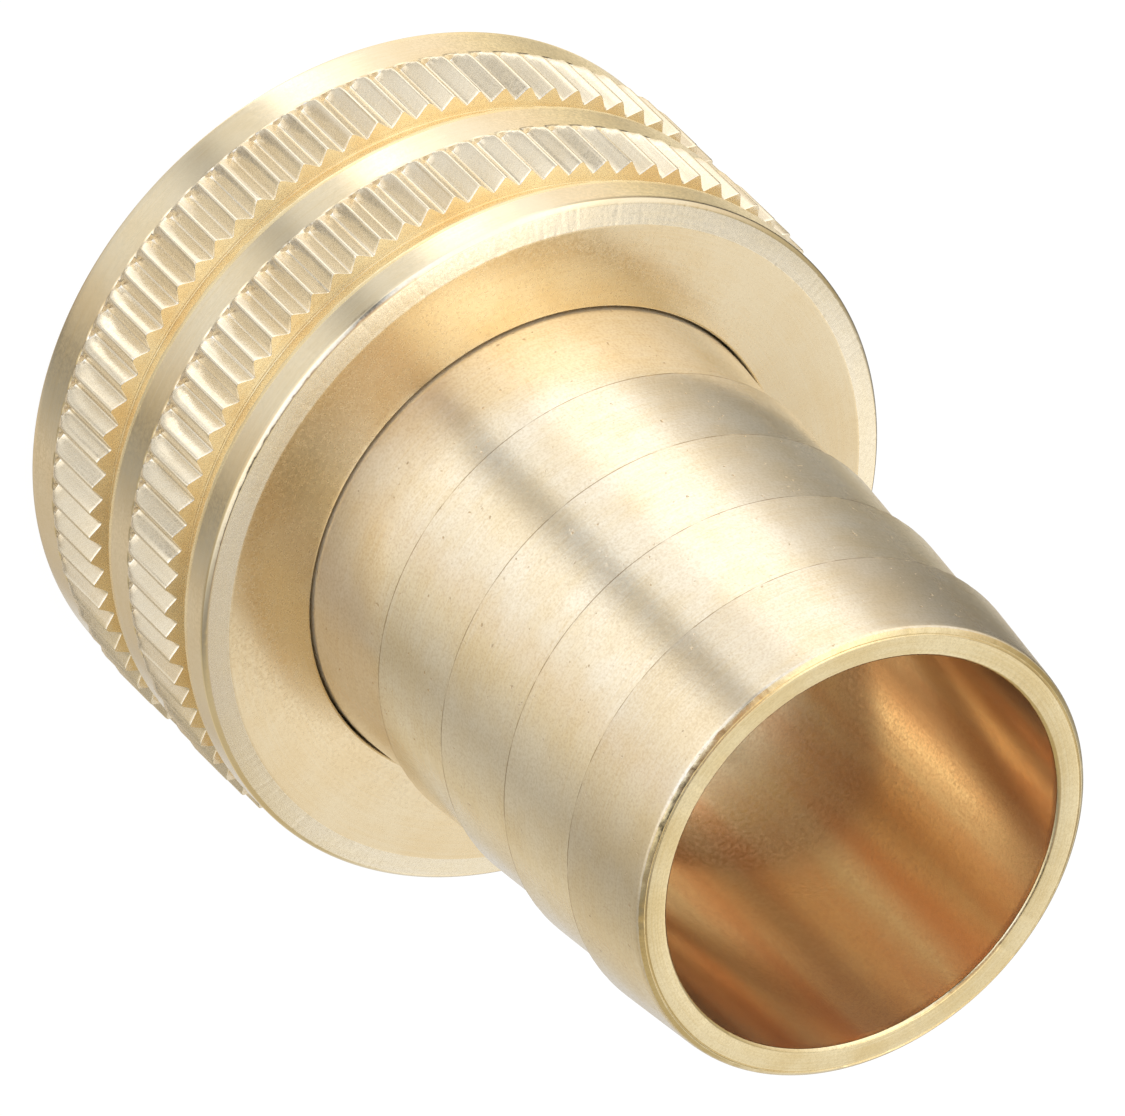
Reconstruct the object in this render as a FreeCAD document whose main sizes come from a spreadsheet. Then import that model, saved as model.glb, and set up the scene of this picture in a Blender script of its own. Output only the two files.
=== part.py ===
import FreeCAD, Part
import os
import Sketcher

# Swivel hose coupling: a barbed hose stem, a knurled swivel nut with a female
# garden hose thread, and the rubber hose washer that seals them.
#
# Frame: the coupling stands on the open, threaded end of its nut. The origin is
# the centre of that end face, +Z is the common axis and points towards the
# mouth of the hose stem. Millimetres throughout.

DOC_NAME = "swivel_hose_coupling"

# alias, value in millimetres (counts are plain numbers)
SIZES = [
    # swivel nut, outside
    ("nut_length", 15.6),
    ("land_radius", 15.72),
    ("tooth_tip_radius", 15.97),
    ("tooth_root_radius", 15.42),
    ("tooth_count", 84),
    ("tooth_flat_width", 0.2),
    ("groove_radius", 15.03),
    ("groove_floor_width", 0.12),
    ("groove_slope_length", 1.1),
    ("first_band_start", 2.62),
    ("band_length", 3.51),
    ("band_spacing", 6.4),
    ("rim_radius", 14.95),
    ("rim_bevel_height", 0.85),
    ("face_radius", 14.67),
    ("face_bevel_radius", 15.57),
    ("face_bevel_height", 0.2),
    ("face_corner_height", 0.15),
    # swivel nut, inside
    ("neck_hole_radius", 10.95),
    ("face_wall", 2.3),
    ("chamber_radius", 13.9),
    ("thread_bore_radius", 13.65),
    ("thread_top", 7.0),
    ("entry_radius", 14.3),
    ("entry_bevel_height", 0.65),
    # hose stem
    ("seat_gap", 0.05),
    ("flow_radius", 9.0),
    ("flange_radius", 12.1),
    ("flange_thickness", 1.6),
    ("flange_bevel", 0.25),
    ("neck_radius", 10.8),
    ("stem_reach", 26.1),
    ("barb_count", 4),
    ("barb_spacing", 5.2),
    ("end_barb_height", 5.1),
    ("barb_edge_radius", 10.76),
    ("barb_foot_radius", 10.37),
    ("barb_step_height", 0.05),
    ("mouth_radius", 10.32),
    ("mouth_bevel", 0.15),
    # hose washer
    ("washer_radius", 12.6),
    ("washer_hole_radius", 8.8),
    ("washer_thickness", 3.0),
    ("washer_bevel", 0.3),
]

# Heights that several pieces share, as formulas of the cells above.
SHOULDER = "sizes.nut_length - sizes.face_wall"
FLANGE_TOP = "(" + SHOULDER + " - sizes.seat_gap)"
FLANGE_BASE = "(" + FLANGE_TOP + " - sizes.flange_thickness)"
WASHER_TOP = "(" + FLANGE_BASE + " - sizes.seat_gap)"
WASHER_BASE = "(" + WASHER_TOP + " - sizes.washer_thickness)"
MOUTH = "(sizes.nut_length + sizes.stem_reach)"


def make_sheet(doc):
    """The driving dimensions, one aliased cell each."""
    sheet = doc.addObject("Spreadsheet::Sheet", "sizes")
    for row, (alias, value) in enumerate(SIZES, start=1):
        sheet.set("A%d" % row, alias)
        sheet.set("B%d" % row, str(value))
        sheet.setAlias("B%d" % row, alias)
    doc.recompute()
    return sheet


def origin_feature(body, role):
    """An origin plane or axis of a body, found by its role."""
    for feature in body.Origin.OriginFeatures:
        if feature.Role == role:
            return feature
    raise RuntimeError("no origin feature " + role)


def number(sketch, formula):
    """What a formula of the sheet's cells comes to."""
    value = sketch.evalExpression(formula)
    return float(getattr(value, "Value", value))


def closed_outline(body, name, role, corners, lift=None):
    """A closed outline of straight lines whose corners are bound to the sheet.

    corners is a list of (across, along) formulas, and lift is the formula of
    the sketch plane's height above its origin plane.
    """
    sketch = body.newObject("Sketcher::SketchObject", name)
    sketch.AttachmentSupport = [(origin_feature(body, role), "")]
    sketch.MapMode = "FlatFace"
    if lift:
        sketch.setExpression("AttachmentOffset.Base.z", lift)
    points = [
        FreeCAD.Vector(number(sketch, across), number(sketch, along), 0)
        for across, along in corners
    ]
    count = len(points)
    lines = [
        Part.LineSegment(points[i], points[(i + 1) % count]) for i in range(count)
    ]
    sketch.addGeometry(lines, False)
    for i in range(count):
        sketch.addConstraint(
            Sketcher.Constraint("Coincident", i, 2, (i + 1) % count, 1)
        )
    for i, (across, along) in enumerate(corners):
        for kind, formula, value in (
            ("DistanceX", across, points[i].x),
            ("DistanceY", along, points[i].y),
        ):
            if formula == "0":
                axis = -2 if kind == "DistanceX" else -1
                sketch.addConstraint(
                    Sketcher.Constraint("PointOnObject", i, 1, axis)
                )
                continue
            index = sketch.addConstraint(
                Sketcher.Constraint(kind, -1, 1, i, 1, value)
            )
            sketch.setExpression("Constraints[%d]" % index, formula)
    return sketch


def turned_piece(doc, name, label, corners):
    """A lathe-turned body: a half section revolved about +Z."""
    body = doc.addObject("PartDesign::Body", name)
    body.Label = label
    section = closed_outline(body, name + "_section", "XZ_Plane", corners)
    turning = body.newObject("PartDesign::Revolution", name + "_turning")
    turning.Profile = section
    turning.ReferenceAxis = (section, ["V_Axis"])
    turning.Angle = 360.0
    body.Placement = FreeCAD.Placement()
    doc.recompute()
    return body


def band_start(index):
    """The formula of a knurled band's lower end."""
    return "(sizes.first_band_start + %d * sizes.band_spacing)" % index


def nut_section():
    """The swivel nut's half section, up the outside and down the inside."""
    outside = [
        ("sizes.rim_radius", "0"),
        ("sizes.land_radius", "sizes.rim_bevel_height"),
    ]
    for band in range(2):
        start = band_start(band)
        stop = "(" + start + " + sizes.band_length)"
        floor = "(" + stop + " + sizes.groove_floor_width)"
        outside += [
            ("sizes.land_radius", start),
            ("sizes.tooth_tip_radius", start),
            ("sizes.tooth_tip_radius", stop),
            ("sizes.groove_radius", stop),
            ("sizes.groove_radius", floor),
            ("sizes.land_radius", floor + " + sizes.groove_slope_length"),
        ]
    corner = "sizes.nut_length - sizes.face_bevel_height"
    outside += [
        ("sizes.land_radius", corner + " - sizes.face_corner_height"),
        ("sizes.face_bevel_radius", corner),
        ("sizes.face_radius", "sizes.nut_length"),
    ]
    inside = [
        ("sizes.neck_hole_radius", "sizes.nut_length"),
        ("sizes.neck_hole_radius", SHOULDER),
        ("sizes.chamber_radius", SHOULDER),
        ("sizes.chamber_radius", "sizes.thread_top"),
        ("sizes.thread_bore_radius", "sizes.thread_top"),
        ("sizes.thread_bore_radius", "sizes.entry_bevel_height"),
        ("sizes.entry_radius", "0"),
    ]
    return outside + inside


def knurl_band(doc, body, band):
    """Straight knurling: one V notch between two teeth, repeated all round."""
    # half the notch's width where it meets the tooth tips
    half_width = (
        "(tan(180deg / sizes.tooth_count) * sizes.tooth_tip_radius"
        " - sizes.tooth_flat_width / 2)"
    )
    depth = "(sizes.tooth_tip_radius - sizes.tooth_root_radius)"
    # the notch is drawn twice as deep as the tooth, so it runs out into the air
    corners = [
        ("sizes.tooth_root_radius", "0"),
        ("sizes.tooth_root_radius + 2 * " + depth, "2 * " + half_width),
        ("sizes.tooth_root_radius + 2 * " + depth, "-2 * " + half_width),
    ]
    name = "knurl_%d" % (band + 1)
    notch = closed_outline(
        body, name + "_notch", "XY_Plane", corners, lift=band_start(band)
    )
    before = body.Shape.Volume
    cut = body.newObject("PartDesign::Pocket", name + "_cut")
    cut.Profile = notch
    cut.Reversed = True
    cut.setExpression("Length", "sizes.band_length")
    doc.recompute()
    if body.Shape.Volume >= before:
        raise RuntimeError(name + " removes nothing")
    pattern = body.newObject("PartDesign::PolarPattern", name)
    pattern.Originals = [cut]
    pattern.Axis = (origin_feature(body, "Z_Axis"), [""])
    pattern.Angle = 360.0
    pattern.setExpression("Occurrences", "sizes.tooth_count")
    body.Tip = pattern
    doc.recompute()


def barb_edge(index):
    """The formula of a barb's sharp edge, counted from the nut."""
    return (
        "(%s - sizes.end_barb_height - (sizes.barb_count - %d) * sizes.barb_spacing)"
        % (MOUTH, index + 1)
    )


def stem_section(barb_count):
    """The hose stem's half section: flange, neck that tapers to the first barb, barbs and plain bore."""
    outside = [
        ("sizes.flow_radius", FLANGE_BASE),
        ("sizes.flange_radius - sizes.flange_bevel", FLANGE_BASE),
        ("sizes.flange_radius", FLANGE_BASE + " + sizes.flange_bevel"),
        ("sizes.flange_radius", FLANGE_TOP),
        ("sizes.neck_radius", FLANGE_TOP),
        ("sizes.neck_radius", barb_edge(0) + " - sizes.barb_spacing"),
    ]
    for barb in range(barb_count):
        edge = barb_edge(barb)
        outside += [
            ("sizes.barb_foot_radius", edge + " - sizes.barb_step_height"),
            ("sizes.barb_edge_radius", edge),
        ]
    outside += [
        ("sizes.mouth_radius", MOUTH + " - sizes.mouth_bevel"),
        ("sizes.mouth_radius - sizes.mouth_bevel", MOUTH),
        ("sizes.flow_radius", MOUTH),
    ]
    return outside


def washer_section():
    """The hose washer's half section, with bevelled outer edges."""
    edge = "sizes.washer_radius - sizes.washer_bevel"
    return [
        ("sizes.washer_hole_radius", WASHER_BASE),
        (edge, WASHER_BASE),
        ("sizes.washer_radius", WASHER_BASE + " + sizes.washer_bevel"),
        ("sizes.washer_radius", WASHER_TOP + " - sizes.washer_bevel"),
        (edge, WASHER_TOP),
        ("sizes.washer_hole_radius", WASHER_TOP),
    ]


def check_document(doc, pieces):
    """Stop on a failed feature or a broken solid."""
    for item in doc.Objects:
        if "Invalid" in item.State or "Error" in item.State:
            raise RuntimeError("%s failed: %s" % (item.Name, item.State))
    for piece in pieces:
        shape = piece.Shape
        if shape.isNull() or not shape.isValid() or len(shape.Solids) != 1:
            raise RuntimeError(piece.Label + " is not one valid solid")


def main():
    doc = FreeCAD.newDocument(DOC_NAME)
    sheet = make_sheet(doc)

    nut = turned_piece(doc, "nut", "swivel_nut", nut_section())
    for band in range(2):
        knurl_band(doc, nut, band)
    stem = turned_piece(
        doc, "stem", "hose_stem", stem_section(int(sheet.get("barb_count")))
    )
    washer = turned_piece(doc, "washer", "hose_washer", washer_section())

    pieces = [stem, washer, nut]
    doc.recompute()
    check_document(doc, pieces)
    os.makedirs("parts", exist_ok=True)
    for piece in pieces:
        piece.Shape.exportStep("parts/%s.step" % piece.Label)
        box = piece.Shape.BoundBox
        print(
            "%s volume %.1f mm3, z %.2f to %.2f, width %.2f"
            % (piece.Label, piece.Shape.Volume, box.ZMin, box.ZMax, box.XLength)
        )


main()
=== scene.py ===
"""A swivel hose coupling in pale brass: a barbed hose stem, a knurled swivel nut and a rubber washer.

Sizes are in millimetres. The coupling stands on the nut's open end, with the hose stem pointing up
along +Z.
"""

import math

import bmesh
import bpy
import numpy as np
from mathutils import Matrix, Vector


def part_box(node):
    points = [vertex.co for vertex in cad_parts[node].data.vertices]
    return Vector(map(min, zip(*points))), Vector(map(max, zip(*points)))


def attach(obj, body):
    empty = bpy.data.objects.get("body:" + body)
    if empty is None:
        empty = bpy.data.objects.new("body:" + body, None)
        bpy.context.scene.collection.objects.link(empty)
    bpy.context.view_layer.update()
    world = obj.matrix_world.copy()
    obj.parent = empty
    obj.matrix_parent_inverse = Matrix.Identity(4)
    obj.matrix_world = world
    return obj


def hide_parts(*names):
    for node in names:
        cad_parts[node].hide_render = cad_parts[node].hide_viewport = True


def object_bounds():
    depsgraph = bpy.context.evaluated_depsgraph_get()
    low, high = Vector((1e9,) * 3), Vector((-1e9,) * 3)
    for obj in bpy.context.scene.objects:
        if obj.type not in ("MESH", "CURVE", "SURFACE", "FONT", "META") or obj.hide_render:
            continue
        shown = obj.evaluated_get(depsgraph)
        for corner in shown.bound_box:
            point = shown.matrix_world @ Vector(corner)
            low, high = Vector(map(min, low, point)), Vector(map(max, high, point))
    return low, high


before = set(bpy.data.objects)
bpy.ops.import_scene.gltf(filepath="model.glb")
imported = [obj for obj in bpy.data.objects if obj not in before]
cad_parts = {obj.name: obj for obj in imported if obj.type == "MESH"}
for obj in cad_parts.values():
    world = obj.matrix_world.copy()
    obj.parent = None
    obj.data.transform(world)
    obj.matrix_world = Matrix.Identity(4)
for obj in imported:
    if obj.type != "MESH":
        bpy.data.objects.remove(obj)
cad_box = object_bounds()

MM = 0.001

# The camera: how high it stands in degrees, how the stem leans in its picture, how far away it is, how far
# right and up of the coupling's middle it aims, and how wide its view is there.
CAMERA_ELEVATION = 46.95
STEM_LEAN = 44.33
CAMERA_DISTANCE = 1300.0
CAMERA_AIM = (-1.87, 1.90)
VIEW_WIDTH = 45.565
SENSOR_WIDTH = 36.0

# Swivel nut
TOOTH_COUNT = 84
TIP_RADIUS = 15.97
ROOT_RADIUS = 15.42
TIP_SHARE = 0.18
CROWN = 0.12
VALLEY_ROUNDING = 0.10
LAND_RADIUS = 15.72
GROOVE_RADIUS = 15.03
GROOVE_LIP = 0.06
GROOVE_FLOOR = 0.12
GROOVE_SLOPE = 1.1
BAND_STARTS = (2.62, 9.02)
BAND_LENGTH = 3.51
RIM_RADIUS = 14.95
RIM_BEVEL = 0.85
FACE_RADIUS = 14.67
FACE_BEVEL_RADIUS = 15.57
FACE_BEVEL_HEIGHT = 0.2
FACE_CORNER = 0.15
HOLE_RADIUS = 10.9
FACE_WALL = 2.3
CHAMBER_RADIUS = 13.9
THREAD_ROOT = 13.65
THREAD_CREST = 12.3
THREAD_PITCH = 25.4 / 11.5
THREAD_FLANK = 30
THREAD_END = 7.0
THREAD_RUN_IN = 0.35
THREAD_RUN_OUT = 0.25
ENTRY_RADIUS = 14.3
ENTRY_BEVEL = 0.65

# How the knurl grows out of the land behind it: the share of each valley's depth and of each tip's height
# that is reached, and how far in front of the land.
KNURL_RISE = ((0.1, 0, 0), (0.8, 0.1, 0.04), (1, 0.3, 0.12), (1, 0.8, 0.4), (1, 1, 0.8))

# Hose stem
BORE_RADIUS = 9.0
NECK_RADIUS = 10.8
BARB_COUNT = 4
BARB_SPACING = 5.2
BARB_EDGE = 10.76
BARB_FOOT = 10.37
END_BARB = 5.1
BARB_STEP = 0.05
MOUTH_RADIUS = 10.32
LIP_CHAMFER = 0.22
FLANGE_RADIUS = 12.1
FLANGE_THICKNESS = 1.6

# Hose washer
WASHER_HOLE = 8.8
WASHER_ROUND = 0.45
WASHER_LAND = 1.4
WASHER_DISH = 0.12
WASHER_SEAM = 0.04

_, nut_high = (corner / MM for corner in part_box("swivel_nut"))
stem_low, stem_high = (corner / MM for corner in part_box("hose_stem"))
washer_low, washer_high = (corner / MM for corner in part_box("hose_washer"))


# ---- Mesh tools ----


class Shell:
    """Rings of points round the Z axis, joined into one closed skin."""

    def __init__(self):
        self.points = []
        self.faces = []
        self.materials = []

    def ring(self, radius, height, angles):
        """Adds a ring and returns its point numbers. Radius and height may have a value for each angle."""
        radius = np.broadcast_to(radius, angles.shape)
        height = np.broadcast_to(height, angles.shape)
        first = len(self.points)
        columns = (radius * np.cos(angles), radius * np.sin(angles), height)
        self.points.extend(np.stack(columns, axis=1) * MM)
        return list(range(first, len(self.points)))

    def rings(self, outline, angles):
        """Adds a ring for each point (radius, height) of an outline."""
        return [self.ring(radius, height, angles) for radius, height in outline]

    def join(self, lower, upper, material=0):
        """Fills the band between two rings. One may have several points for each point of the other."""
        if len(lower) < len(upper):
            lower, upper = upper, lower
        share = len(lower) // len(upper)
        for j in range(len(upper)):
            fine = [lower[(j * share + k) % len(lower)] for k in range(share + 1)]
            self.faces.append(fine + [upper[(j + 1) % len(upper)], upper[j]])
            self.materials.append(material)

    def join_all(self, rings, material=0):
        for lower, upper in zip(rings, rings[1:]):
            self.join(lower, upper, material)

    def build(self, name, materials, sharp_angle=38):
        """Makes the piece, with points that coincide merged and edges above the sharp angle left sharp."""
        mesh = bpy.data.meshes.new(name)
        mesh.from_pydata([tuple(p) for p in self.points], [], self.faces)
        for material in materials:
            mesh.materials.append(material)
        mesh.polygons.foreach_set("material_index", self.materials)
        work = bmesh.new()
        work.from_mesh(mesh)
        bmesh.ops.remove_doubles(work, verts=work.verts, dist=1e-7)
        bmesh.ops.dissolve_degenerate(work, edges=work.edges, dist=1e-8)
        bmesh.ops.recalc_face_normals(work, faces=work.faces)
        work.to_mesh(mesh)
        work.free()
        mesh.shade_smooth()
        mesh.set_sharp_from_angle(angle=math.radians(sharp_angle))
        piece = bpy.data.objects.new(name, mesh)
        bpy.context.scene.collection.objects.link(piece)
        return piece


def rounded(corners, steps=4):
    """Points along an outline whose corners (radius, height, rounding) are rounded off."""
    points = []
    for i, (radius, height, rounding) in enumerate(corners):
        here = np.array((radius, height), float)
        if rounding == 0:
            points.append(tuple(here))
            continue
        before = np.array(corners[i - 1][:2], float) - here
        after = np.array(corners[i + 1][:2], float) - here
        start = here + before / np.linalg.norm(before) * rounding
        end = here + after / np.linalg.norm(after) * rounding
        for t in np.linspace(0, 1, steps):
            points.append(tuple((1 - t) ** 2 * start + 2 * t * (1 - t) * here + t * t * end))
    return points


def nicks(angles, count, depth, width, seed):
    """Small dents at random places round an edge, as a depth for each angle. The width is in radians."""
    random = np.random.RandomState(seed)
    dents = np.zeros_like(angles)
    for centre, share in zip(random.uniform(0, 2 * math.pi, count), random.uniform(0.3, 1, count)):
        away = np.abs((angles - centre + math.pi) % (2 * math.pi) - math.pi)
        dents = np.maximum(dents, share * np.exp(-((away / (width * (0.5 + share))) ** 2)))
    return dents * depth


def even_angles(count):
    return np.arange(count) * 2 * math.pi / count


# ---- Swivel nut ----

NUT_TURNED, NUT_KNURLED, NUT_BEVEL, NUT_FACE, NUT_INSIDE, NUT_GROOVE = range(6)


def tooth_pattern(seed):
    """Angles round the nut, and how high the knurl stands at each, from 0 in a valley to 1 on a tip.

    The pattern repeats a valley with half a tip at each side, at places from -0.5 to 0.5. Each tip has its
    own width, each valley its own place, and each pair of flanks its own slight hollow.
    """
    random = np.random.RandomState(seed)
    half = np.array((0.03, 0.08, 0.18, 0.29, 0.37, 0.405, 0.43, 0.46))
    across = np.concatenate((-half[::-1], (0.0,), half, (0.5,)))
    tip_share = TIP_SHARE * random.uniform(0.75, 1.3, TOOTH_COUNT)
    valley = random.uniform(-0.025, 0.025, TOOTH_COUNT)
    sink = random.uniform(0.0, 0.05, TOOTH_COUNT)
    tooth = np.repeat(np.arange(TOOTH_COUNT), len(across))
    place = np.tile(across, TOOTH_COUNT)
    left = -0.5 + tip_share[tooth - 1] / 2
    right = 0.5 - tip_share[tooth] / 2
    reach = np.where(place < valley[tooth], valley[tooth] - left, right - valley[tooth])
    climb = np.abs(place - valley[tooth]) / reach
    soft = VALLEY_ROUNDING
    climb = (np.sqrt(climb**2 + soft**2) - soft) / (math.sqrt(1 + soft**2) - soft)
    flank = np.minimum(climb, 1.0) * (1 - CROWN)
    from_tip = np.abs(np.abs(place) - 0.5) / (TIP_SHARE / 2)
    tip = 1 - CROWN * np.clip(from_tip, 0, 1) ** 2
    height = np.where(climb > 1, tip, flank)
    height = height - (1 - height) * sink[tooth]
    angles = (tooth + place) * 2 * math.pi / TOOTH_COUNT
    return angles, np.clip(height, 0, 1)


def groove_outline(start):
    """The undercut groove in front of a knurled band: a step down, a narrow floor and a slope up."""
    slope_end = start + GROOVE_FLOOR + GROOVE_SLOPE
    corners = [
        (GROOVE_RADIUS + GROOVE_LIP, start, 0),
        (GROOVE_RADIUS, start, 0.03),
        (GROOVE_RADIUS, start + GROOVE_FLOOR, 0.05),
        (LAND_RADIUS, slope_end, 0.12),
        (LAND_RADIUS, slope_end + 0.2, 0),
    ]
    return rounded(corners)[1:]


def add_knurl_band(shell, angles, start, seed):
    """One knurled band and the groove in front of it. Returns its first and last rings, both on a land."""
    _, height = tooth_pattern(seed)
    radius = ROOT_RADIUS + (TIP_RADIUS - ROOT_RADIUS) * height
    rise = np.maximum(radius - LAND_RADIUS, 0)
    dip = np.minimum(radius - LAND_RADIUS, 0)
    end = start + BAND_LENGTH
    ragged = nicks(angles, count=130, depth=0.07, width=0.012, seed=seed + 1)
    land = [shell.ring(LAND_RADIUS, start - gap, angles) for gap in (0.1, 0.05)]
    teeth = [
        shell.ring(LAND_RADIUS + deep * dip + tall * rise, start + ahead, angles)
        for deep, tall, ahead in KNURL_RISE
    ]
    teeth += [
        shell.ring(radius, (start + end) / 2, angles),
        shell.ring(radius, end - 0.1 - ragged, angles),
        shell.ring(radius - 0.006 - 0.3 * ragged, end - 0.02, angles),
        shell.ring(radius - 0.03 - 0.3 * ragged, end, angles),
        shell.ring(GROOVE_RADIUS + GROOVE_LIP, end, angles),
    ]
    groove = shell.rings(groove_outline(end), angles)
    shell.join_all(land, NUT_TURNED)
    shell.join(land[-1], teeth[0], NUT_TURNED)
    shell.join_all(teeth, NUT_KNURLED)
    shell.join(teeth[-1], groove[0], NUT_KNURLED)
    shell.join_all(groove, NUT_GROOVE)
    return land[0], groove[-1]


def thread_radius(turns):
    """The thread's radius at a place counted in pitches along the axis: a V with flat crests and roots."""
    depth = THREAD_ROOT - THREAD_CREST
    flank = depth * math.tan(math.radians(THREAD_FLANK)) / THREAD_PITCH
    flat = (1 - 2 * flank) / 2
    away = abs((turns + 0.5) % 1 - 0.5)
    share = min(max((away - flat / 2) / flank, 0), 1)
    return THREAD_ROOT - depth * share


def join_helix(shell, rings, samples):
    """Fills the bands between rings that climb one pitch a turn, so each round ends on a later ring."""
    count = len(rings[0])
    for i in range(len(rings) - 1):
        for j in range(count):
            wrap = samples if j == count - 1 else 0
            after = (j + 1) % count
            if i + 1 + wrap < len(rings):
                lower, upper = rings[i + wrap], rings[i + 1 + wrap]
                shell.faces.append([rings[i][j], lower[after], upper[after], rings[i + 1][j]])
                shell.materials.append(NUT_INSIDE)


def add_thread(shell, angles, samples=14):
    """The helical hose thread inside the nut, between plain ends. Returns its lowest and highest rings."""
    low, high = ENTRY_BEVEL, THREAD_END
    turns = math.ceil((high - low) / THREAD_PITCH) + 1
    climb = angles / (2 * math.pi)
    rings = []
    for i in range(-samples, turns * samples + 1):
        height = low + (i / samples + climb) * THREAD_PITCH
        run_in = np.clip((height - low) / (THREAD_RUN_IN * THREAD_PITCH), 0, 1)
        run_out = np.clip((high - height) / (THREAD_RUN_OUT * THREAD_PITCH), 0, 1)
        depth = THREAD_ROOT - thread_radius(i / samples)
        radius = THREAD_ROOT - depth * np.minimum(run_in, run_out)
        rings.append(shell.ring(radius, np.clip(height, low, high), angles))
    join_helix(shell, rings, samples)
    return rings[0], rings[-1]


def add_rear_rim(shell, angles):
    """The bevelled rim round the nut's open end. Returns its first and last rings."""
    outline = [
        (RIM_RADIUS - 0.08, 0, 0),
        (RIM_RADIUS, 0, 0.05),
        (LAND_RADIUS, RIM_BEVEL, 0.06),
        (LAND_RADIUS, RIM_BEVEL + 0.3, 0),
    ]
    rings = shell.rings(rounded(outline), angles)
    shell.join_all(rings, NUT_TURNED)
    return rings[0], rings[-1]


def add_front_corner(shell, angles, height):
    """The front land, its corner and the worn bevel round the face. Returns its first and last rings."""
    dents = nicks(angles, count=160, depth=0.018, width=0.004, seed=5)
    bevel_low = height - FACE_BEVEL_HEIGHT
    outline = [
        (LAND_RADIUS, bevel_low - FACE_CORNER - 0.2, 0),
        (LAND_RADIUS, bevel_low - FACE_CORNER, 0.06),
        (FACE_BEVEL_RADIUS, bevel_low, 0.05),
        (FACE_RADIUS + 0.2, height - 0.045, 0),
    ]
    land = [shell.ring(r - dents * (z > bevel_low - 0.03), z, angles) for r, z in rounded(outline)]
    rough = nicks(angles, count=200, depth=0.012, width=0.004, seed=6)
    bevel = land[-2:] + [
        shell.ring(FACE_RADIUS + 0.05, height - 0.012 - rough, angles),
        shell.ring(FACE_RADIUS, height, angles),
    ]
    shell.join_all(land[:-1], NUT_TURNED)
    shell.join_all(bevel, NUT_BEVEL)
    return land[0], bevel[-1]


def add_neck_hole(shell, angles, height, wall):
    """The flat face inside the bevel and the hole for the neck. Returns its first and last rings."""
    outline = [
        (FACE_RADIUS - 0.1, height, 0),
        (HOLE_RADIUS, height, 0.11),
        (HOLE_RADIUS, wall, 0.05),
        (HOLE_RADIUS + 0.3, wall, 0),
    ]
    rings = shell.rings(rounded(outline), angles)
    shell.join_all(rings[:3], NUT_FACE)
    shell.join_all(rings[2:], NUT_INSIDE)
    return rings[0], rings[-1]


def add_inside(shell, angles, wall):
    """The flange's chamber, the thread and the bevelled entry. Returns its first and last rings."""
    low_thread, high_thread = add_thread(shell, angles)
    chamber = [
        (CHAMBER_RADIUS - 0.5, wall, 0),
        (CHAMBER_RADIUS, wall, 0.25),
        (CHAMBER_RADIUS, THREAD_END, 0.1),
        (THREAD_ROOT + 0.01, THREAD_END, 0),
    ]
    inside = shell.rings(rounded(chamber), angles)
    entry = [
        (THREAD_ROOT + 0.01, ENTRY_BEVEL - 0.01, 0),
        (ENTRY_RADIUS, 0, 0.05),
        (ENTRY_RADIUS + 0.2, 0, 0),
    ]
    mouth = shell.rings(rounded(entry), angles)
    shell.join_all(inside, NUT_INSIDE)
    shell.join(inside[-1], high_thread, NUT_INSIDE)
    shell.join(low_thread, mouth[0], NUT_INSIDE)
    shell.join_all(mouth, NUT_INSIDE)
    return inside[0], mouth[-1]


def build_nut(materials):
    shell = Shell()
    height = nut_high.z
    wall = height - FACE_WALL
    angles, _ = tooth_pattern(0)
    two_a_tooth = angles[:: len(angles) // (2 * TOOTH_COUNT)]

    rear, last = add_rear_rim(shell, angles)
    for i, start in enumerate(BAND_STARTS):
        land, groove = add_knurl_band(shell, angles, start, seed=11 + i)
        shell.join(last, land, NUT_TURNED)
        last = groove
    land, face = add_front_corner(shell, angles, height)
    shell.join(last, land, NUT_TURNED)
    hole_edge, hole_end = add_neck_hole(shell, angles, height, wall)
    shell.join(face, hole_edge, NUT_FACE)
    chamber, mouth = add_inside(shell, two_a_tooth, wall)
    shell.join(hole_end, chamber, NUT_INSIDE)
    shell.join(mouth, rear, NUT_INSIDE)
    return shell.build("swivel_nut_brass", materials)


# ---- Hose stem ----

STEM_OUTSIDE, STEM_LIP, STEM_BORE = range(3)


def barb_edge_heights():
    last = stem_high.z - END_BARB
    return [last - BARB_SPACING * i for i in reversed(range(BARB_COUNT))]


def add_lip(shell, angles):
    """The hose mouth's lip, with a fine groove near its outer edge. Returns its inner and outer rings."""
    mouth = stem_high.z
    edge = MOUTH_RADIUS - LIP_CHAMFER
    outline = [
        (BORE_RADIUS, mouth - 0.5, 0),
        (BORE_RADIUS, mouth - 0.12, 0.05),
        (BORE_RADIUS + 0.12, mouth - 0.02, 0.04),
        (edge - 0.14, mouth, 0.02),
        (edge - 0.09, mouth - 0.05, 0.01),
        (edge - 0.03, mouth - 0.01, 0.02),
        (MOUTH_RADIUS - 0.02, mouth - LIP_CHAMFER, 0.08),
        (MOUTH_RADIUS + 0.02, mouth - 0.5, 0),
    ]
    edge_dents = nicks(angles, count=50, depth=0.022, width=0.013, seed=21)
    bore_dents = nicks(angles, count=40, depth=0.02, width=0.01, seed=22)
    rings = []
    for r, z in rounded(outline):
        worn = edge_dents * (r > edge - 0.05) + bore_dents * (r < BORE_RADIUS + 0.2)
        rings.append(shell.ring(r, z - worn * (z > mouth - 0.2), angles))
    shell.join_all(rings[:2], STEM_BORE)
    shell.join_all(rings[1:-4], STEM_LIP)
    shell.join_all(rings[-5:], STEM_OUTSIDE)
    return rings[0], rings[-1]


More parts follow.
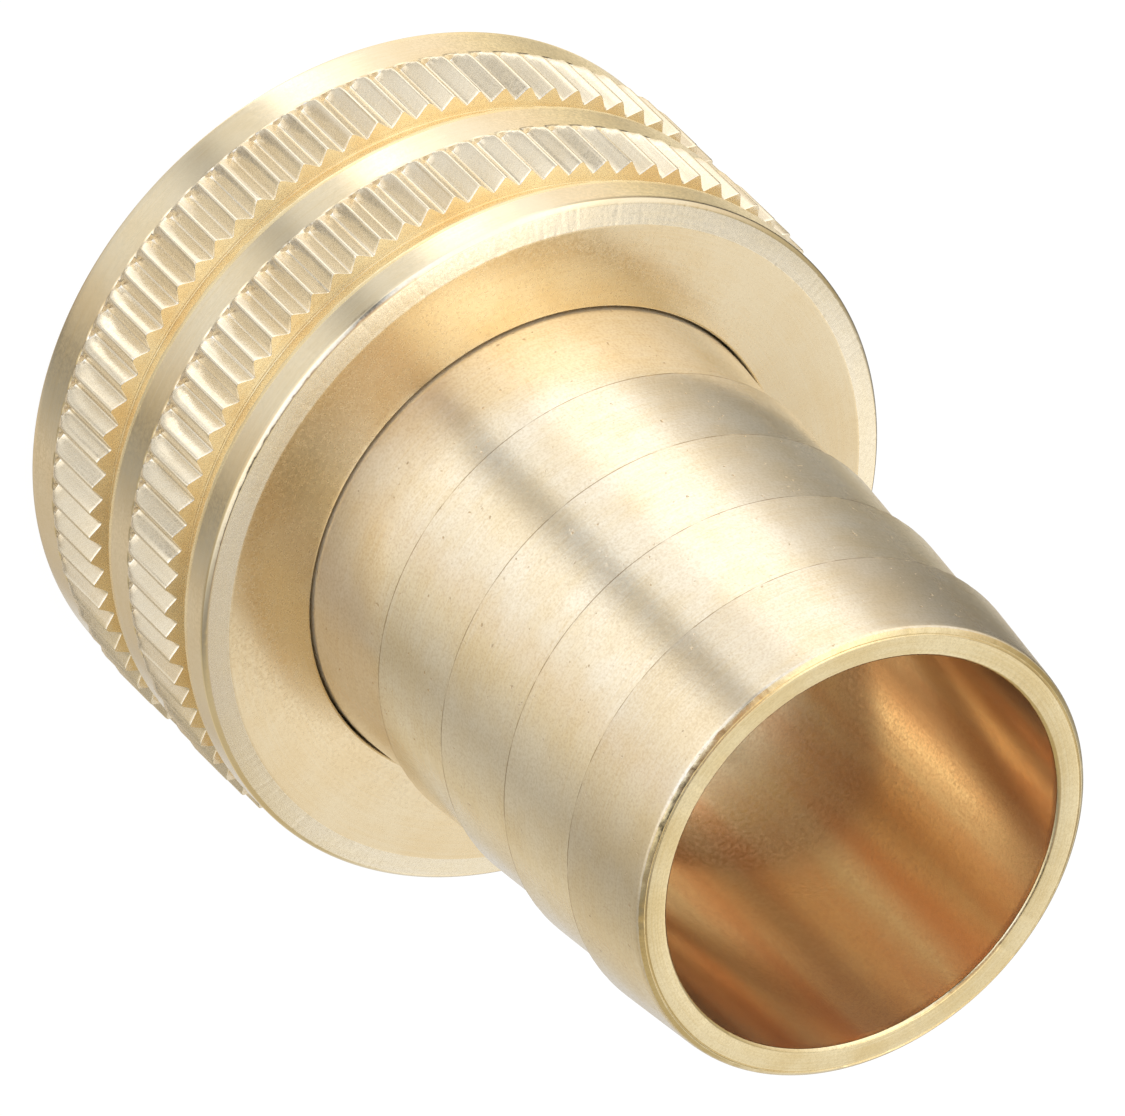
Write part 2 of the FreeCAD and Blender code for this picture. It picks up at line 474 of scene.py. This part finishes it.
def add_barb_edge(shell, angles, edge, seed):
    """A barb's worn edge and the small step under it. Returns its first and last rings, downwards."""
    dents = nicks(angles, count=60, depth=0.03, width=0.01, seed=seed)
    rings = [
        shell.ring(BARB_EDGE - 0.008, edge + 0.14, angles),
        shell.ring(BARB_EDGE - 0.004, edge + 0.07, angles),
        shell.ring(BARB_EDGE - 0.3 * dents, edge + 0.025, angles),
        shell.ring(BARB_EDGE - 0.02 - dents, edge, angles),
        shell.ring(BARB_FOOT + 0.03, edge - BARB_STEP + 0.01, angles),
        shell.ring(BARB_FOOT, edge - BARB_STEP - 0.03, angles),
    ]
    shell.join_all(rings, STEM_OUTSIDE)
    return rings[0], rings[-1]


def add_neck_and_flange(shell, angles, taper_end):
    """The neck below its taper and the flange at its foot. Returns its first and last rings, downwards."""
    base = stem_low.z
    flange_top = base + FLANGE_THICKNESS
    outline = [
        (NECK_RADIUS - 0.03, taper_end + 0.3, 0),
        (NECK_RADIUS, taper_end, 0.1),
        (NECK_RADIUS, flange_top + 0.5, 0),
        (NECK_RADIUS, flange_top, 0.2),
        (FLANGE_RADIUS, flange_top, 0.25),
        (FLANGE_RADIUS, base, 0.25),
        (BORE_RADIUS, base, 0.3),
        (BORE_RADIUS, base + 0.6, 0),
    ]
    rings = shell.rings(rounded(outline), angles)
    shell.join_all(rings, STEM_OUTSIDE)
    return rings[0], rings[-1]


def build_stem(materials):
    shell = Shell()
    angles = even_angles(480)
    edges = barb_edge_heights()
    bore_top, last = add_lip(shell, angles)
    for i, edge in enumerate(reversed(edges)):
        barb, foot = add_barb_edge(shell, angles, edge, seed=30 + i)
        shell.join(last, barb, STEM_OUTSIDE)
        last = foot
    neck, bore_base = add_neck_and_flange(shell, angles, edges[0] - BARB_SPACING)
    shell.join(last, neck, STEM_OUTSIDE)
    shell.join(bore_base, bore_top, STEM_BORE)
    return shell.build("hose_stem_brass", materials)


# ---- Hose washer ----


def build_washer(material):
    """A moulded rubber ring: rounded edges, a fine parting line round the rim and a slightly dished face."""
    shell = Shell()
    low, high, radius = washer_low.z, washer_high.z, washer_high.x
    middle = (low + high) / 2
    side = radius - WASHER_SEAM
    dish_start = WASHER_LAND + 0.5
    outline = [
        (WASHER_HOLE, middle, 0),
        (WASHER_HOLE, low, WASHER_ROUND),
        (WASHER_HOLE + WASHER_LAND, low, 0),
        (WASHER_HOLE + dish_start, low + WASHER_DISH, 0.3),
        (radius - dish_start, low + WASHER_DISH, 0.3),
        (radius - WASHER_LAND, low, 0),
        (side, low, WASHER_ROUND),
        (side, middle - 0.06, 0),
        (radius, middle, 0.03),
        (side, middle + 0.06, 0),
        (side, high, WASHER_ROUND),
        (WASHER_HOLE, high, WASHER_ROUND),
        (WASHER_HOLE, middle, 0),
    ]
    shell.join_all(shell.rings(rounded(outline, 6), even_angles(240)))
    return shell.build("hose_washer_rubber", [material], sharp_angle=50)


# ---- Materials ----


class Nodes:
    """A short way to add and link the shader nodes of a material or a world."""

    def __init__(self, owner):
        owner.use_nodes = True
        self.tree = owner.node_tree
        self.tree.nodes.clear()

    def add(self, kind, inputs=None, **settings):
        node = self.tree.nodes.new(kind)
        for name, value in settings.items():
            setattr(node, name, value)
        for key, value in (inputs or {}).items():
            self.put(node.inputs[key], value)
        return node

    def put(self, socket, value):
        if isinstance(value, bpy.types.NodeSocket):
            self.tree.links.new(value, socket)
        else:
            socket.default_value = value

    def maths(self, operation, *values):
        return self.add("ShaderNodeMath", dict(enumerate(values)), operation=operation).outputs[0]

    def weighted(self, *parts):
        """The sum of values, each times its weight. A value without weight is left out."""
        total = 0.0
        for value, weight in parts:
            if weight:
                total = self.maths("ADD", total, self.maths("MULTIPLY", value, weight))
        return total

    def vector(self, x, y, z):
        return self.add("ShaderNodeCombineXYZ", {0: x, 1: y, 2: z}).outputs[0]

    def scaled(self, vector, scale):
        inputs = {0: vector, "Scale": scale}
        return self.add("ShaderNodeVectorMath", inputs, operation="SCALE").outputs[0]

    def noise(self, vector, scale, detail=3.0, roughness=0.5):
        inputs = {"Vector": vector, "Scale": scale, "Detail": detail, "Roughness": roughness}
        return self.add("ShaderNodeTexNoise", inputs).outputs["Fac"]

    def remap(self, value, low, high, to_low=0.0, to_high=1.0):
        """Eases from one value to another as the input goes from low to high."""
        inputs = {"Value": value, "From Min": low, "From Max": high, "To Min": to_low, "To Max": to_high}
        return self.add("ShaderNodeMapRange", inputs, interpolation_type="SMOOTHSTEP").outputs["Result"]

    def blend(self, share, low, high):
        node = self.add("ShaderNodeMix", data_type="RGBA")
        self.put(node.inputs["Factor"], share)
        self.put(node.inputs["A"], low)
        self.put(node.inputs["B"], high)
        return node.outputs["Result"]

    def axis_coordinates(self):
        """The place on the piece in millimetres, its distance from the axis, and its x, y and z."""
        place = self.scaled(self.add("ShaderNodeTexCoord").outputs["Object"], 1 / MM)
        x, y, z = self.add("ShaderNodeSeparateXYZ", {0: place}).outputs[:3]
        across = self.maths("ADD", self.maths("POWER", x, 2.0), self.maths("POWER", y, 2.0))
        return place, self.maths("SQRT", across), x, y, z

    def surface(self, tone, roughness, relief):
        """Ends the material in a principled shader, with its relief in millimetres. Returns the shader."""
        bump = self.add("ShaderNodeBump", {"Height": relief, "Strength": 1.0, "Distance": MM})
        inputs = {"Base Color": tone, "Roughness": roughness, "Normal": bump.outputs[0]}
        shader = self.add("ShaderNodeBsdfPrincipled", inputs)
        self.add("ShaderNodeOutputMaterial", {"Surface": shader.outputs[0]})
        return shader


def rgb(red, green, blue):
    return (red, green, blue, 1.0)


# Dark brown painted over the stem's tone, as painted shade along the barbs' edges and as the last barb's
# deeper tone.
SHADE_AND_TONE_BROWN = rgb(0.34, 0.23, 0.12)


class BrassPatterns:
    """The patterns that brass is marked with, from the place on the piece."""

    def __init__(self, nodes):
        self.place, self.radius, x, y, self.z = nodes.axis_coordinates()
        round_x = nodes.maths("DIVIDE", x, self.radius)
        round_y = nodes.maths("DIVIDE", y, self.radius)
        turned = nodes.maths("MULTIPLY", nodes.maths("ADD", self.radius, self.z), 9.0)
        self.lathe_lines = nodes.noise(nodes.vector(round_x, round_y, turned), 1.6, 4.0, 0.65)
        drawn = nodes.vector(x, y, nodes.maths("MULTIPLY", self.z, 0.07))
        self.drawn_lines = nodes.noise(drawn, 3.2, 3.0, 0.6)
        self.wide_lines = nodes.noise(drawn, 0.42, 2.0, 0.5)
        self.tooth = nodes.noise(self.place, 5.5, 4.0, 0.6)
        self.clouds = nodes.noise(self.place, 0.35, 3.0, 0.55)
        self.fine = nodes.noise(self.place, 9.0, 3.0, 0.6)
        self.pinholes = nodes.remap(nodes.noise(self.place, 4.2, 2.0, 0.4), 0.71, 0.79)


def brass_tone(nodes, patterns, pale, deep, streaks, pits, specks):
    """The drift between the two colours, with tarnish in the pinholes and fine specks."""
    drift = nodes.weighted(
        (patterns.clouds, 0.6 * (1 - streaks)),
        (patterns.lathe_lines, 0.4 * (1 - streaks)),
        (patterns.wide_lines, streaks),
    )
    tone = nodes.blend(nodes.remap(drift, 0.36, 0.66), pale, deep)
    tarnish = rgb(deep[0] * 0.62, deep[1] * 0.52, deep[2] * 0.42)
    if pits:
        tone = nodes.blend(nodes.maths("MULTIPLY", patterns.pinholes, 0.7), tone, tarnish)
    return nodes.blend(nodes.remap(patterns.fine, 0.36, 0.72, 0.0, specks), tone, tarnish)


def brass(
    name,
    pale,
    deep,
    roughness,
    anisotropy=0.0,
    metal=1.0,
    marks=0.0,
    grain=0.0,
    pits=0.0,
    along=0.0,
    shade_and_tone=None,
    streaks=0.0,
    specks=0.06,
):
    """Brass whose tone drifts between two colours.

    metal is below 1 where a dull film lies on the brass. marks is the depth of the lathe's fine lines round
    the axis, along that of drawn lines beside the axis, grain that of the fine tooth of the surface and pits
    that of scattered pinholes, all in millimetres. streaks is how much of the drift follows wide lines
    beside the axis, specks how strong the fine dark specks are, and the shade function, if given, the share
    of a dark brown painted over the tone, as painted shade and as a deeper tone.
    """
    material = bpy.data.materials.new(name)
    nodes = Nodes(material)
    patterns = BrassPatterns(nodes)
    tone = brass_tone(nodes, patterns, pale, deep, streaks, pits, specks)
    # Dark brown painted over the tone, as painted shade and as a deeper tone, where the material asks for
    # it.
    if shade_and_tone:
        tone = nodes.blend(shade_and_tone(nodes, patterns), tone, SHADE_AND_TONE_BROWN)
    uneven = nodes.maths("ADD", patterns.tooth, patterns.fine)
    rough = nodes.remap(uneven, 0.7, 1.3, roughness * 0.7, roughness * 1.35)
    relief = nodes.weighted(
        (patterns.lathe_lines, marks),
        (patterns.drawn_lines, along),
        (patterns.tooth, grain),
        (patterns.pinholes, -pits),
    )
    shader = nodes.surface(tone, rough, relief)
    shader.inputs["Metallic"].default_value = metal
    if anisotropy:
        tangent = nodes.add("ShaderNodeTangent", direction_type="RADIAL", axis="Z")
        nodes.put(shader.inputs["Tangent"], tangent.outputs[0])
        shader.inputs["Anisotropic"].default_value = anisotropy
        shader.inputs["Anisotropic Rotation"].default_value = 0.25
    return material


def stem_painted_shade_and_tone(nodes, patterns):
    """The fine broken line of painted shade above each barb's edge, where the corner under the edge lies in
    shade, and the deeper tone of the last barb.
    """
    edges = barb_edge_heights()
    start = edges[0] - 0.02
    turn = nodes.maths("DIVIDE", nodes.maths("SUBTRACT", patterns.z, start), BARB_SPACING)
    above_edge = nodes.maths("MULTIPLY", nodes.maths("FRACT", turn), BARB_SPACING)
    # Painted shade: darkest within 0.05 mm above each barb's edge, gone by 0.12 mm, standing in for the
    # shaded corner under the edge.
    line = nodes.remap(above_edge, 0.05, 0.12, 1.0, 0.0)
    broken = nodes.remap(nodes.noise(patterns.place, 0.9, 3.0, 0.6), 0.35, 0.6, 0.3, 1.0)
    above_neck = nodes.remap(patterns.z, edges[0] - 0.6, edges[0] - 0.5)
    line = nodes.maths("MULTIPLY", nodes.maths("MULTIPLY", line, broken), above_neck)
    last_barb = nodes.remap(patterns.z, edges[-1], edges[-1] + 0.1, 0.0, 0.14)
    outside = nodes.remap(patterns.radius, BORE_RADIUS + 0.5, BORE_RADIUS + 0.6)
    return nodes.maths("MULTIPLY", nodes.maths("MAXIMUM", line, last_barb), outside)


def rubber(name):
    """Matt tan rubber with a cloudy bloom, a fine speckle and faint moulded rings."""
    material = bpy.data.materials.new(name)
    nodes = Nodes(material)
    place, radius, _, _, _ = nodes.axis_coordinates()
    bloom = nodes.noise(place, 0.5, 4.0, 0.6)
    speckle = nodes.noise(place, 9.0, 3.0, 0.6)
    rings = nodes.maths("SINE", nodes.maths("MULTIPLY", radius, 16.0))
    tone = nodes.blend(nodes.remap(bloom, 0.35, 0.7), rgb(0.66, 0.50, 0.37), rgb(0.76, 0.60, 0.46))
    rough = nodes.remap(speckle, 0.3, 0.7, 0.55, 0.8)
    nodes.surface(tone, rough, nodes.weighted((speckle, 0.03), (rings, 0.004)))
    return material


def nut_materials():
    """The nut's six finishes, in the order of the numbers at the head of the nut's section."""
    pale, deep = rgb(0.93, 0.81, 0.58), rgb(0.90, 0.75, 0.49)
    worn, dull = rgb(0.92, 0.82, 0.63), rgb(0.87, 0.75, 0.54)
    face_pale, face_deep = rgb(0.90, 0.75, 0.50), rgb(0.87, 0.69, 0.42)
    light = rgb(0.96, 0.86, 0.66)
    gold, amber = rgb(0.96, 0.80, 0.47), rgb(0.92, 0.68, 0.32)
    return [
        brass("nut_turned_brass", pale, deep, 0.17, anisotropy=0.5, metal=0.95, marks=0.001, grain=0.0008),
        brass("nut_knurled_brass", worn, dull, 0.25, metal=0.85, grain=0.005, along=0.008),
        brass("nut_bevel_brass", worn, pale, 0.26, anisotropy=0.3, metal=0.75, marks=0.002, grain=0.006),
        brass("nut_face_brass", face_pale, face_deep, 0.22, anisotropy=0.7, marks=0.0006, grain=0.0004),
        brass("nut_inside_brass", light, pale, 0.34, anisotropy=0.4, metal=0.85, marks=0.006, grain=0.004),
        brass("nut_groove_brass", gold, amber, 0.22, metal=0.6, marks=0.002, grain=0.003),
    ]


def stem_materials():
    """The stem's three finishes, in the order of the numbers at the head of the stem's section."""
    pale, deep = rgb(0.98, 0.88, 0.68), rgb(0.91, 0.76, 0.50)
    lip_pale, lip_deep = rgb(0.90, 0.76, 0.47), rgb(0.80, 0.63, 0.33)
    amber, copper = rgb(0.94, 0.77, 0.48), rgb(0.86, 0.53, 0.28)
    pitted = {"grain": 0.005, "pits": 0.012, "specks": 0.34}
    ringed = {"marks": 0.004, "grain": 0.006, "specks": 0.2}
    streaked = {"grain": 0.0005, "along": 0.003, "streaks": 0.8, "specks": 0.3}
    return [
        # The satin brass carries the painted shade along the barbs' edges and the last barb's deeper tone.
        brass("stem_satin_brass", pale, deep, 0.18, metal=0.66, shade_and_tone=stem_painted_shade_and_tone, **pitted),
        brass("stem_lip_brass", lip_pale, lip_deep, 0.2, anisotropy=0.3, **ringed),
        brass("stem_bore_brass", amber, copper, 0.16, metal=0.88, **streaked),
    ]


# ---- Studio ----

# Each ring of the light tent lists its azimuth in degrees from the camera's side towards +X, its brightness
# there and its tint.
WHITE, COOL = (1, 1, 1), (0.93, 1.05, 1.35)
WARM, GOLD, AMBER = (1, 0.91, 0.80), (1, 0.89, 0.64), (1, 0.72, 0.55)


def low_ring():
    """The tent well below the horizon, where the nut's straight bands look."""
    return [
        (-180, 0.75, WARM),
        (-156, 1.02, GOLD),
        (-134, 0.74, GOLD),
        (-112, 1.12, GOLD),
        (-92, 1.22, WARM),
        (-72, 1.05, WHITE),
        (-60, 1.45, WHITE),
        (-50, 2.00, WHITE),
        (-42, 1.70, WHITE),
        (-34, 0.84, WHITE),
        (-20, 0.74, WHITE),
        (-11, 0.60, WHITE),
        (-3, 0.68, WHITE),
        (14, 0.76, WHITE),
        (34, 0.66, WHITE),
        (48, 0.52, WARM),
        (62, 0.24, WARM),
        (76, 0.34, WHITE),
        (96, 0.72, WARM),
        (120, 0.62, WARM),
        (144, 0.53, WARM),
        (168, 0.78, WHITE),
        (180, 0.75, WARM),
    ]


def middle_ring():
    """The tent below the horizon, where the barbs look."""
    return [
        (-180, 0.52, WARM),
        (-160, 0.20, WHITE),
        (-144, 0.02, WHITE),
        (-116, 0.02, WHITE),
        (-102, 0.22, WARM),
        (-90, 0.48, WARM),
        (-81, 0.66, WARM),
        (-74, 1.10, WHITE),
        (-64, 1.50, WHITE),
        (-44, 1.50, WHITE),
        (-34, 1.06, WHITE),
        (-19, 0.98, WHITE),
        (-12, 0.06, WARM),
        (-6, 0.20, WARM),
        (3, 1.00, WHITE),
        (24, 1.05, WHITE),
        (38, 0.92, WARM),
        (50, 0.76, GOLD),
        (66, 0.50, GOLD),
        (84, 0.30, GOLD),
        (106, 0.52, GOLD),
        (124, 0.74, GOLD),
        (160, 0.72, WHITE),
        (180, 0.52, WARM),
    ]


def high_ring():
    """The tent above the horizon, where the neck looks by way of the nut's face."""
    return [
        (-180, 0.88, WHITE),
        (-162, 1.25, WHITE),
        (-152, 0.60, WHITE),
        (-140, 0.40, GOLD),
        (-124, 0.55, GOLD),
        (-110, 0.85, WARM),
        (-98, 1.05, WHITE),
        (-84, 1.15, WHITE),
        (-72, 1.65, WHITE),
        (-48, 1.65, WHITE),
        (-34, 1.25, COOL),
        (-19, 1.30, COOL),
        (-15, 0.05, COOL),
        (-9, 0.05, COOL),
        (-4, 1.15, COOL),
        (12, 1.45, COOL),
        (28, 1.45, COOL),
        (44, 1.30, WHITE),
        (60, 0.95, WHITE),
        (74, 0.50, WHITE),
        (86, 0.26, WHITE),
        (100, 0.55, GOLD),
        (146, 0.55, GOLD),
        (158, 1.05, WHITE),
        (180, 0.88, WHITE),
    ]


def upper_ring():
    """The tent's shoulder, where the nut's face looks, straight or by way of the neck."""
    return [
        (-180, 0.88, WHITE),
        (-165, 1.00, WHITE),
        (-150, 0.55, WHITE),
        (-120, 0.90, WHITE),
        (-84, 1.35, WHITE),
        (-62, 1.80, WHITE),
        (-38, 1.60, WHITE),
        (-26, 0.95, WARM),
        (-18, 0.75, AMBER),
        (0, 0.52, AMBER),
        (20, 0.34, AMBER),
        (40, 0.10, AMBER),
        (52, 0.00, AMBER),
        (66, 0.00, AMBER),
        (82, 0.28, AMBER),
        (104, 0.50, WARM),
        (150, 0.60, WARM),
        (168, 0.74, WHITE),
        (180, 0.88, WHITE),
    ]


def soft_panel(nodes, direction, toward, inner, outer, brightness):
    """A round soft light, full inside the inner angle and gone outside the outer one, in degrees."""
    toward = Vector(toward).normalized()
    aim = nodes.add("ShaderNodeVectorMath", {0: direction, 1: toward}, operation="DOT_PRODUCT")
    gone, full = math.cos(math.radians(outer)), math.cos(math.radians(inner))
    return nodes.maths("MULTIPLY", nodes.remap(aim.outputs["Value"], gone, full), brightness)


def light_ring(nodes, turn, stops):
    """A band of light round the object, from its stops. The turn runs from 0 to 1 round the object."""
    brightest = max(brightness for _, brightness, _ in stops)
    ramp = nodes.add("ShaderNodeValToRGB", {0: turn})
    elements = ramp.color_ramp.elements
    while len(elements) < len(stops):
        elements.new(0.5)
    for element, (degrees, brightness, tint) in zip(elements, stops):
        element.position = degrees / 360 + 0.5
        element.color = rgb(*(channel * brightness / brightest for channel in tint))
    return nodes.scaled(ramp.outputs[0], brightest)


def overhead_light(nodes, direction, x):
    """The tent's roof, a little dimmer towards +X, with a bright panel and a small dark card."""
    side = nodes.remap(x, -0.12, 0.25, 1.0, 0.75)
    panel = soft_panel(nodes, direction, (-0.26, 0.28, 0.92), inner=8, outer=20, brightness=1.1)
    card = soft_panel(nodes, direction, (0.23, 0.41, 0.88), inner=3, outer=9, brightness=0.4)
    brightness = nodes.maths("SUBTRACT", nodes.maths("ADD", side, panel), card)
    return nodes.scaled((1, 0.96, 0.88), brightness)


def make_tent():
    """The light tent, as the world. The camera itself sees plain white behind the object.

    Height is the direction's own z, from -1 straight down to 1 straight up.
    """
    world = bpy.data.worlds.new("light_tent")
    bpy.context.scene.world = world
    nodes = Nodes(world)
    direction = nodes.add("ShaderNodeTexCoord").outputs["Generated"]
    x, y, height = nodes.add("ShaderNodeSeparateXYZ", {0: direction}).outputs[:3]
    azimuth = nodes.maths("ARCTAN2", x, nodes.maths("MULTIPLY", y, -1.0))
    turn = nodes.maths("ADD", nodes.maths("DIVIDE", azimuth, 2 * math.pi), 0.5)
    rings = [low_ring(), middle_ring(), high_ring(), upper_ring()]
    low, middle, high, upper = (light_ring(nodes, turn, stops) for stops in rings)

    tent = nodes.blend(nodes.remap(height, -0.74, -0.68), low, middle)
    tent = nodes.blend(nodes.remap(height, -0.45, 0.05), tent, high)
    front = soft_panel(nodes, direction, (0, -0.95, -0.28), inner=14, outer=32, brightness=0.35)
    tent = nodes.add("ShaderNodeVectorMath", {0: tent, 1: front}, operation="ADD").outputs[0]
    tent = nodes.blend(nodes.remap(height, 0.66, 0.76), tent, upper)
    tent = nodes.blend(nodes.remap(height, 0.86, 0.93), tent, overhead_light(nodes, direction, x))

    seen = nodes.add("ShaderNodeLightPath").outputs["Is Camera Ray"]
    colour = nodes.blend(seen, tent, rgb(1, 1, 1))
    background = nodes.add("ShaderNodeBackground", {"Color": colour, "Strength": 1.0})
    nodes.add("ShaderNodeOutputWorld", {"Surface": background.outputs[0]})


def table_material():
    """A white that glows from above and is clear from below."""
    material = bpy.data.materials.new("light_table_white")
    nodes = Nodes(material)
    lit = nodes.add("ShaderNodeBsdfPrincipled")
    lit.inputs["Base Color"].default_value = rgb(0.1, 0.1, 0.1)
    lit.inputs["Roughness"].default_value = 1.0
    lit.inputs["Specular IOR Level"].default_value = 0.0
    lit.inputs["Emission Color"].default_value = rgb(1, 1, 1)
    lit.inputs["Emission Strength"].default_value = 0.95
    clear = nodes.add("ShaderNodeBsdfTransparent")
    below = nodes.add("ShaderNodeNewGeometry").outputs["Backfacing"]
    surface = nodes.add("ShaderNodeMixShader", {0: below, 1: lit.outputs[0], 2: clear.outputs[0]})
    nodes.add("ShaderNodeOutputMaterial", {"Surface": surface.outputs[0]})
    return material


def make_floor():
    """A white light table under the coupling. It shows to the camera alone, so the tent lights the brass."""
    reach = 4.0
    corners = [(-reach, -reach, 0), (reach, -reach, 0), (reach, reach, 0), (-reach, reach, 0)]
    mesh = bpy.data.meshes.new("light_table")
    mesh.from_pydata(corners, [], [(0, 1, 2, 3)])
    mesh.materials.append(table_material())
    floor = bpy.data.objects.new("light_table", mesh)
    bpy.context.scene.collection.objects.link(floor)
    floor.visible_glossy = False
    floor.visible_diffuse = False
    floor.visible_transmission = False
    floor.visible_shadow = False


def make_camera():
    """The camera on the near side, -Y, turned so that the stem leans as in the photograph."""
    elevation, lean = math.radians(CAMERA_ELEVATION), math.radians(STEM_LEAN)
    toward = Vector((0, -math.cos(elevation), math.sin(elevation)))
    stem_way = Vector((0, math.sin(elevation), math.cos(elevation)))
    other_way = Vector((-1, 0, 0))
    right = math.cos(lean) * stem_way + math.sin(lean) * other_way
    up = -math.sin(lean) * stem_way + math.cos(lean) * other_way
    low, high = cad_box
    aim = (low + high) / 2 + (CAMERA_AIM[0] * right + CAMERA_AIM[1] * up) * MM
    data = bpy.data.cameras.new("camera")
    data.sensor_width = SENSOR_WIDTH
    data.lens = SENSOR_WIDTH * CAMERA_DISTANCE / VIEW_WIDTH
    data.clip_start, data.clip_end = 0.1, 10.0
    camera = bpy.data.objects.new("camera", data)
    turn = Matrix((right, up, toward)).transposed().to_4x4()
    camera.matrix_world = Matrix.Translation(aim + toward * CAMERA_DISTANCE * MM) @ turn
    bpy.context.scene.collection.objects.link(camera)
    bpy.context.scene.camera = camera


# ---- The scene ----

make_camera()
make_tent()
make_floor()
bpy.context.scene.view_settings.view_transform = "Standard"

nut = build_nut(nut_materials())
stem = build_stem(stem_materials())
washer = build_washer(rubber("washer_rubber"))
for piece, node, body, slot in (
    (nut, "swivel_nut", "nut", "nut_brass"),
    (stem, "hose_stem", "stem", "stem_brass"),
    (washer, "hose_washer", "washer", "washer_rubber"),
):
    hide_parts(node)
    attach(piece, body)
